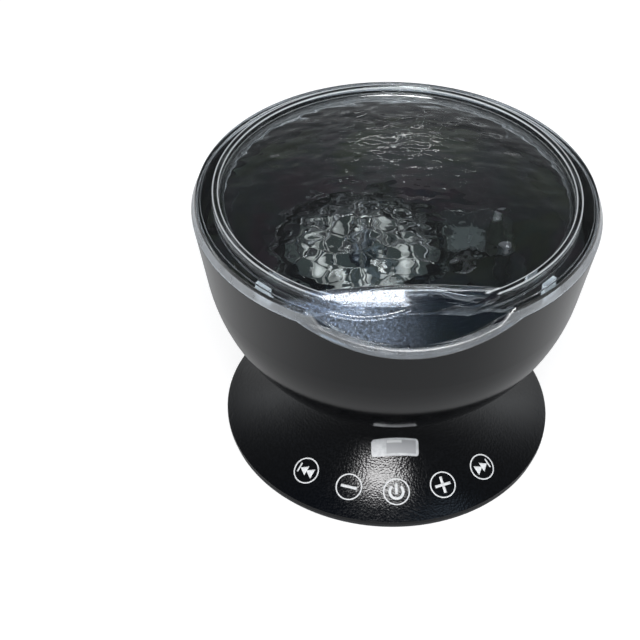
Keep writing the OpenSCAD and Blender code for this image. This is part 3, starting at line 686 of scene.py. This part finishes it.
def plate_outline():
    """The cover's outline seen from above, anticlockwise from its front left corner."""
    left, right, front, back = cover_low.x, cover_high.x, cover_low.y, cover_high.y
    step = (steps_end_x - left) / front_steps
    outline = []
    for i in range(front_steps):
        x = left + (steps_end_x - left) * i / front_steps
        outline += [(x, front + step_high_y), (x + step * step_share, front + step_low_y)]
    for start, middle_y in ((-90, -screw_y), (0, screw_y)):
        for a in range(start, start + 91, 15):
            outline.append((right - cover_corner_r + cover_corner_r * math.cos(math.radians(a)),
                            middle_y + cover_corner_r * math.sin(math.radians(a))))
    return outline + [(left + cover_chamfer, back), (left, back - cover_chamfer)]


def flat_plate(name, outline, holes, low_z, high_z, material):
    """A flat plate with holes, from loops of points seen from above."""
    mesh = bpy.data.meshes.new(name)
    work = bmesh.new()
    for loop in [outline] + holes:
        corners = [work.verts.new((x, y, low_z)) for x, y in loop]
        for a, b in zip(corners, corners[1:] + corners[:1]):
            work.edges.new((a, b))
    bmesh.ops.triangle_fill(work, use_beauty=True, edges=work.edges[:], normal=(0, 0, -1))
    bmesh.ops.dissolve_limit(work, angle_limit=0.01, verts=work.verts[:], edges=work.edges[:])
    upper = bmesh.ops.extrude_face_region(work, geom=work.faces[:])["geom"]
    bmesh.ops.translate(work, vec=(0, 0, high_z - low_z),
                        verts=[v for v in upper if isinstance(v, bmesh.types.BMVert)])
    bmesh.ops.recalc_face_normals(work, faces=work.faces[:])
    work.to_mesh(mesh)
    work.free()
    mesh.materials.append(material)
    plate = bpy.data.objects.new(name, mesh)
    bpy.context.scene.collection.objects.link(plate)
    return plate


def circle(x, y, radius, corners=24):
    """A round loop of points seen from above."""
    return [(x + radius * math.cos(2 * math.pi * i / corners),
             y + radius * math.sin(2 * math.pi * i / corners)) for i in range(corners)]


screw_holes = [circle(screw_x, side * screw_y, screw_hole_r) for side in (-1, 1)]
plate = flat_plate("gear_plate", plate_outline(), screw_holes, cover_low.z, cover_high.z, cover_clear)
edge = plate.modifiers.new("edge", "BEVEL")
edge.width, edge.segments, edge.limit_method = cover_edge_round, 2, "ANGLE"
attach(plate, "head")
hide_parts("gear_cover")
finish_node("gear_cover_screws", screw_steel)


# Clear lid
# One polished clear moulding that snaps on the bowl: band, flat top, raised rib, scoop and hooks.
# The band's outer skin is clouded, and painted grey at the front and white at its sides as painted
# shade and sheen. The rib's edges and the front hooks are frosted pale as painted highlights, and the
# left of the scoop is finely speckled, its specks and haze painted pale blue as a painted reflection.
rim_z, rim_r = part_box("bowl_shell")[1].z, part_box("bowl_shell")[1].x
lid_tint = (0.86, 0.89, 0.91)
painted_reflection_blue = (0.50, 0.66, 0.95)
band_front_painted_shade, band_side_painted_sheen = (0.34, 0.36, 0.38), (0.84, 0.88, 0.92)
band_top_z, notch_low_z = 107.8 * mm, 91.8 * mm
band_lean_above, band_lean_below = 1.6 * mm, 2.6 * mm
tongue_x, tongue_y, tongue_r = -15.9 * mm, -10.5 * mm, 52.4 * mm
edge_round = 0.35 * mm
band_clear, painted_glint_clear, haze_and_painted_blue_clear = 0.65, 0.25, 0.80
polished, band_rough, speck_rough = 0.03, 0.22, 0.32
flatten_right, flatten_left, flash_turn = 0.55, 0.30, -0.14

# Each pair gives a distance where a mask starts and one where it is full.
band_skin_r, band_side_x = (71.7 * mm, 72.1 * mm), (26 * mm, 50 * mm)
band_under_top_z = (106.9 * mm, 106.4 * mm)
rib_outer_r = ((64.3 * mm, 64.8 * mm), (65.6 * mm, 65.2 * mm))
rib_inner_r = ((62.2 * mm, 62.6 * mm), (63.4 * mm, 62.9 * mm))
rib_top_z = (109.9 * mm, 110.3 * mm)
hook_r = ((65.4 * mm, 65.9 * mm), (69.2 * mm, 68.8 * mm))
hook_z, hook_side_x, hook_front_y = (105.2 * mm, 104.9 * mm), (36 * mm, 40 * mm), (10 * mm, -10 * mm)
scoop_y, scoop_outer_r = (-54 * mm, -57 * mm), (72.2 * mm, 71.8 * mm)
scoop_skin_r = (70.2 * mm, 69.5 * mm)
scoop_left_x, specks_x = (10 * mm, -20 * mm), (34 * mm, -10 * mm)
tongue_edge_r = (tongue_r, tongue_r - 0.25 * mm)
tongue_rim_r = (tongue_r - 0.7 * mm, tongue_r - 0.4 * mm)
crest_y, flash_x = (-59.7 * mm, -58.5 * mm), (7 * mm, -3 * mm)


def all_of(tree, mask, *others):
    """Where every one of several masks is 1."""
    for other in others:
        mask = maths(tree, "MULTIPLY", mask, other)
    return mask


def vector_pair(tree, operation, a, b):
    """A vector maths node on two sockets."""
    node = linked(tree, "ShaderNodeVectorMath", operation=operation, Vector=a)
    tree.links.new(b, node.inputs[1])
    return node


lid_clear, tree = fresh_material("lid_clear")
place = own_place(tree)
parts = linked(tree, "ShaderNodeSeparateXYZ", Vector=place)
right_x, back_y, up_z = (parts.outputs[axis] for axis in "XYZ")
side_x = maths(tree, "ABSOLUTE", right_x)
flat_place = linked(tree, "ShaderNodeCombineXYZ", X=right_x, Y=back_y).outputs[0]
out_r = linked(tree, "ShaderNodeVectorMath", operation="LENGTH", Vector=flat_place).outputs["Value"]

# The band leans in above and below the rim, so its skin is found by a radius that allows for that.
above_rim = fade_between(tree, share(tree, up_z, (rim_z, band_top_z)), 0.0, band_lean_above)
below_rim = fade_between(tree, share(tree, up_z, (rim_z, notch_low_z)), 0.0, band_lean_below)
band_r = maths(tree, "ADD", out_r, maths(tree, "ADD", above_rim, below_rim))
clouds = rescaled(tree, mottle(tree, place, 180.0, 4.0), 0.3, 0.7, 0.75, 1.0)
band = all_of(tree, share(tree, band_r, band_skin_r), clouds, share(tree, up_z, band_under_top_z))
# Painted shade and sheen: the band's front is painted grey and its sides white.
band_painted_shade_and_sheen = fade_between(tree, share(tree, side_x, band_side_x), band_front_painted_shade, band_side_painted_sheen)

# Painted highlights: the rib's top edges and the front hooks are frosted pale where glints fall.
rib = maths(tree, "MAXIMUM", share(tree, out_r, *rib_outer_r), share(tree, out_r, *rib_inner_r))
rib = all_of(tree, rib, share(tree, up_z, rib_top_z))
hooks = all_of(tree, share(tree, up_z, hook_z), share(tree, out_r, *hook_r),
               share(tree, side_x, hook_side_x), share(tree, back_y, hook_front_y))
painted_glint_frost = maths(tree, "MAXIMUM", rib, hooks)

scoop = all_of(tree, share(tree, back_y, scoop_y), share(tree, band_r, scoop_outer_r))
scoop_skin = all_of(tree, scoop, share(tree, out_r, scoop_skin_r))
scoop_left = all_of(tree, scoop_skin, share(tree, right_x, scoop_left_x))
# Painted reflection: on the scoop's left its specks and haze are tinted pale blue, for blue light mirrored
# there. The specks' roughness is their own.
specks = share(tree, mottle(tree, place, 1200.0, 3.0), (0.25, 0.80))
specks_and_painted_blue = all_of(tree, scoop_skin, specks, share(tree, right_x, specks_x))
haze_and_painted_blue = all_of(tree, scoop_left, specks)

# A tongue of the scoop, with its rim and the crest behind it, catches the soft box.
tongue_middle = linked(tree, "ShaderNodeCombineXYZ", X=tongue_x, Y=tongue_y).outputs[0]
tongue_away = vector_pair(tree, "DISTANCE", flat_place, tongue_middle).outputs["Value"]
crest = maths(tree, "MAXIMUM", share(tree, tongue_away, tongue_rim_r), share(tree, back_y, crest_y))
flash = all_of(tree, share(tree, tongue_away, tongue_edge_r), crest, share(tree, right_x, flash_x))

# The scoop is shaded as if its faces lay flatter, so that they mirror the dark room and not the soft
# box. The flash keeps its slope, and is turned a little to the left.
rounded = linked(tree, "ShaderNodeBevel", Radius=edge_round, samples=4).outputs[0]
side = maths(tree, "SIGN", linked(tree, "ShaderNodeSeparateXYZ", Vector=rounded).outputs["Z"])
flatter = all_of(tree, fade_between(tree, scoop_left, flatten_right, flatten_left), scoop,
                 fade_between(tree, flash, 1.0, 0.0))
leftward = fade_between(tree, flash, 0.0, flash_turn)
lean = linked(tree, "ShaderNodeCombineXYZ", X=leftward, Z=flatter).outputs[0]
lean = linked(tree, "ShaderNodeVectorMath", operation="SCALE", Vector=lean, Scale=side).outputs[0]
leaning = vector_pair(tree, "ADD", rounded, lean).outputs[0]
facing = linked(tree, "ShaderNodeVectorMath", operation="NORMALIZE", Vector=leaning).outputs[0]

clearness = all_of(tree, fade_between(tree, band, 1.0, band_clear),
                   fade_between(tree, painted_glint_frost, 1.0, painted_glint_clear), fade_between(tree, haze_and_painted_blue, 1.0, haze_and_painted_blue_clear))
gloss = maths(tree, "MAXIMUM", fade_between(tree, band, polished, band_rough),
              fade_between(tree, specks_and_painted_blue, 0.0, speck_rough))
tint = fade_between(tree, specks_and_painted_blue, fade_between(tree, band, lid_tint, band_painted_shade_and_sheen), painted_reflection_blue)
clear_finish(tree, lid_tint, Base_Color=tint, Roughness=gloss, Transmission_Weight=clearness, Normal=facing)
finish_node("lid_ring", lid_clear)


# Wave lens
# A shallow clear dome that lies inside the rib, moulded with ripples like water on both faces. It is
# cut back where the lid's scoop dips under it.
lens_clear = clear_plastic("lens_clear", (0.93, 0.96, 0.97))
lens_low, lens_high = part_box("wave_lens")
lens_r = lens_high.x
lens_wall = 2.2 * mm
lens_edge_z = lens_low.z + lens_wall
lens_rise = lens_high.z - lens_edge_z
lens_ball_r = (lens_r ** 2 + lens_rise ** 2) / (2 * lens_rise)
notch_deep, notch_curve_r, notch_slope = 10.7 * mm, 300 * mm, math.radians(38)
band_rise, lid_t, lens_gap = 4.3 * mm, 1.8 * mm, 0.1 * mm
scoop_lift = band_rise - lid_t - lens_gap
ripple_long, ripple_short, ripple_deep = 8.0 * mm, 5.0 * mm, 0.40 * mm
finer, long_share, short_share, inside_share = 2.1, 0.42, 0.2, 0.8
face_start, inside_start, finer_start = 1.0, 9.0, 7.3
lens_edge_calm = 1.5 * mm
lens_rings, lens_turns = 96, 360


def lens_height(x, y, sunk=0.0):
    """Height of the lens's smooth face, or of its inside at a depth below the face."""
    ball = lens_ball_r - sunk
    return lens_edge_z + lens_rise - lens_ball_r + math.sqrt(ball * ball - x * x - y * y)


def scoop_height(x, y):
    """Height of the scoop's face, which curves across and rises inward."""
    bend = notch_curve_r - math.sqrt(notch_curve_r ** 2 - x * x)
    climb = bend + (y + rim_r) * math.sin(notch_slope)
    return rim_z - notch_deep + scoop_lift + climb / math.cos(notch_slope)


def reach(a, sunk):
    """How far out the lens goes at an angle: to its edge, or to where the scoop cuts it."""
    low, high = 0.0, lens_r
    x, y = math.cos(a), math.sin(a)
    if lens_height(high * x, high * y, sunk) < scoop_height(high * x, high * y):
        return high
    for _ in range(30):
        r = (low + high) / 2
        if lens_height(r * x, r * y, sunk) < scoop_height(r * x, r * y):
            low = r
        else:
            high = r
    return low


def ripple(x, y, start):
    """Depth of the ripples at a place, from about 0 to 1."""
    across, along = x / ripple_long, y / ripple_short
    long_wave = noise.noise(Vector((across, along, start)))
    short_wave = noise.noise(Vector((across * finer, along * finer, start + finer_start)))
    return 0.5 + long_share * long_wave + short_share * short_wave


edges = {sunk: [reach(2 * math.pi * i / lens_turns, sunk) for i in range(lens_turns)]
         for sunk in (0.0, lens_wall)}


def lens_point(k, a):
    """From the middle of the rippled face to its edge, and back along the rippled inside."""
    i = round(a / (2 * math.pi) * lens_turns) % lens_turns
    outside = k < lens_rings
    sunk = 0.0 if outside else lens_wall
    out = k / (lens_rings - 1) if outside else (2 * lens_rings - 1 - k) / (lens_rings - 1)
    r = max(out, 0.0005) * edges[sunk][i]
    x, y = r * math.cos(a), r * math.sin(a)
    calm = min(1.0, (edges[sunk][i] - r) / lens_edge_calm)
    depth = ripple(x, y, face_start if outside else inside_start) * ripple_deep * calm
    return Vector((x, y, lens_height(x, y, sunk) + (-depth if outside else depth * inside_share)))


points, faces = lathe_grid(2 * lens_rings, lens_turns, lens_point)
faces.append(tuple(range(lens_turns)))
faces.append(tuple((2 * lens_rings - 1) * lens_turns + i for i in range(lens_turns))[::-1])
lens = new_piece("rippled_lens", points, faces, lens_clear)
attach(lens, "head")
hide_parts("wave_lens")
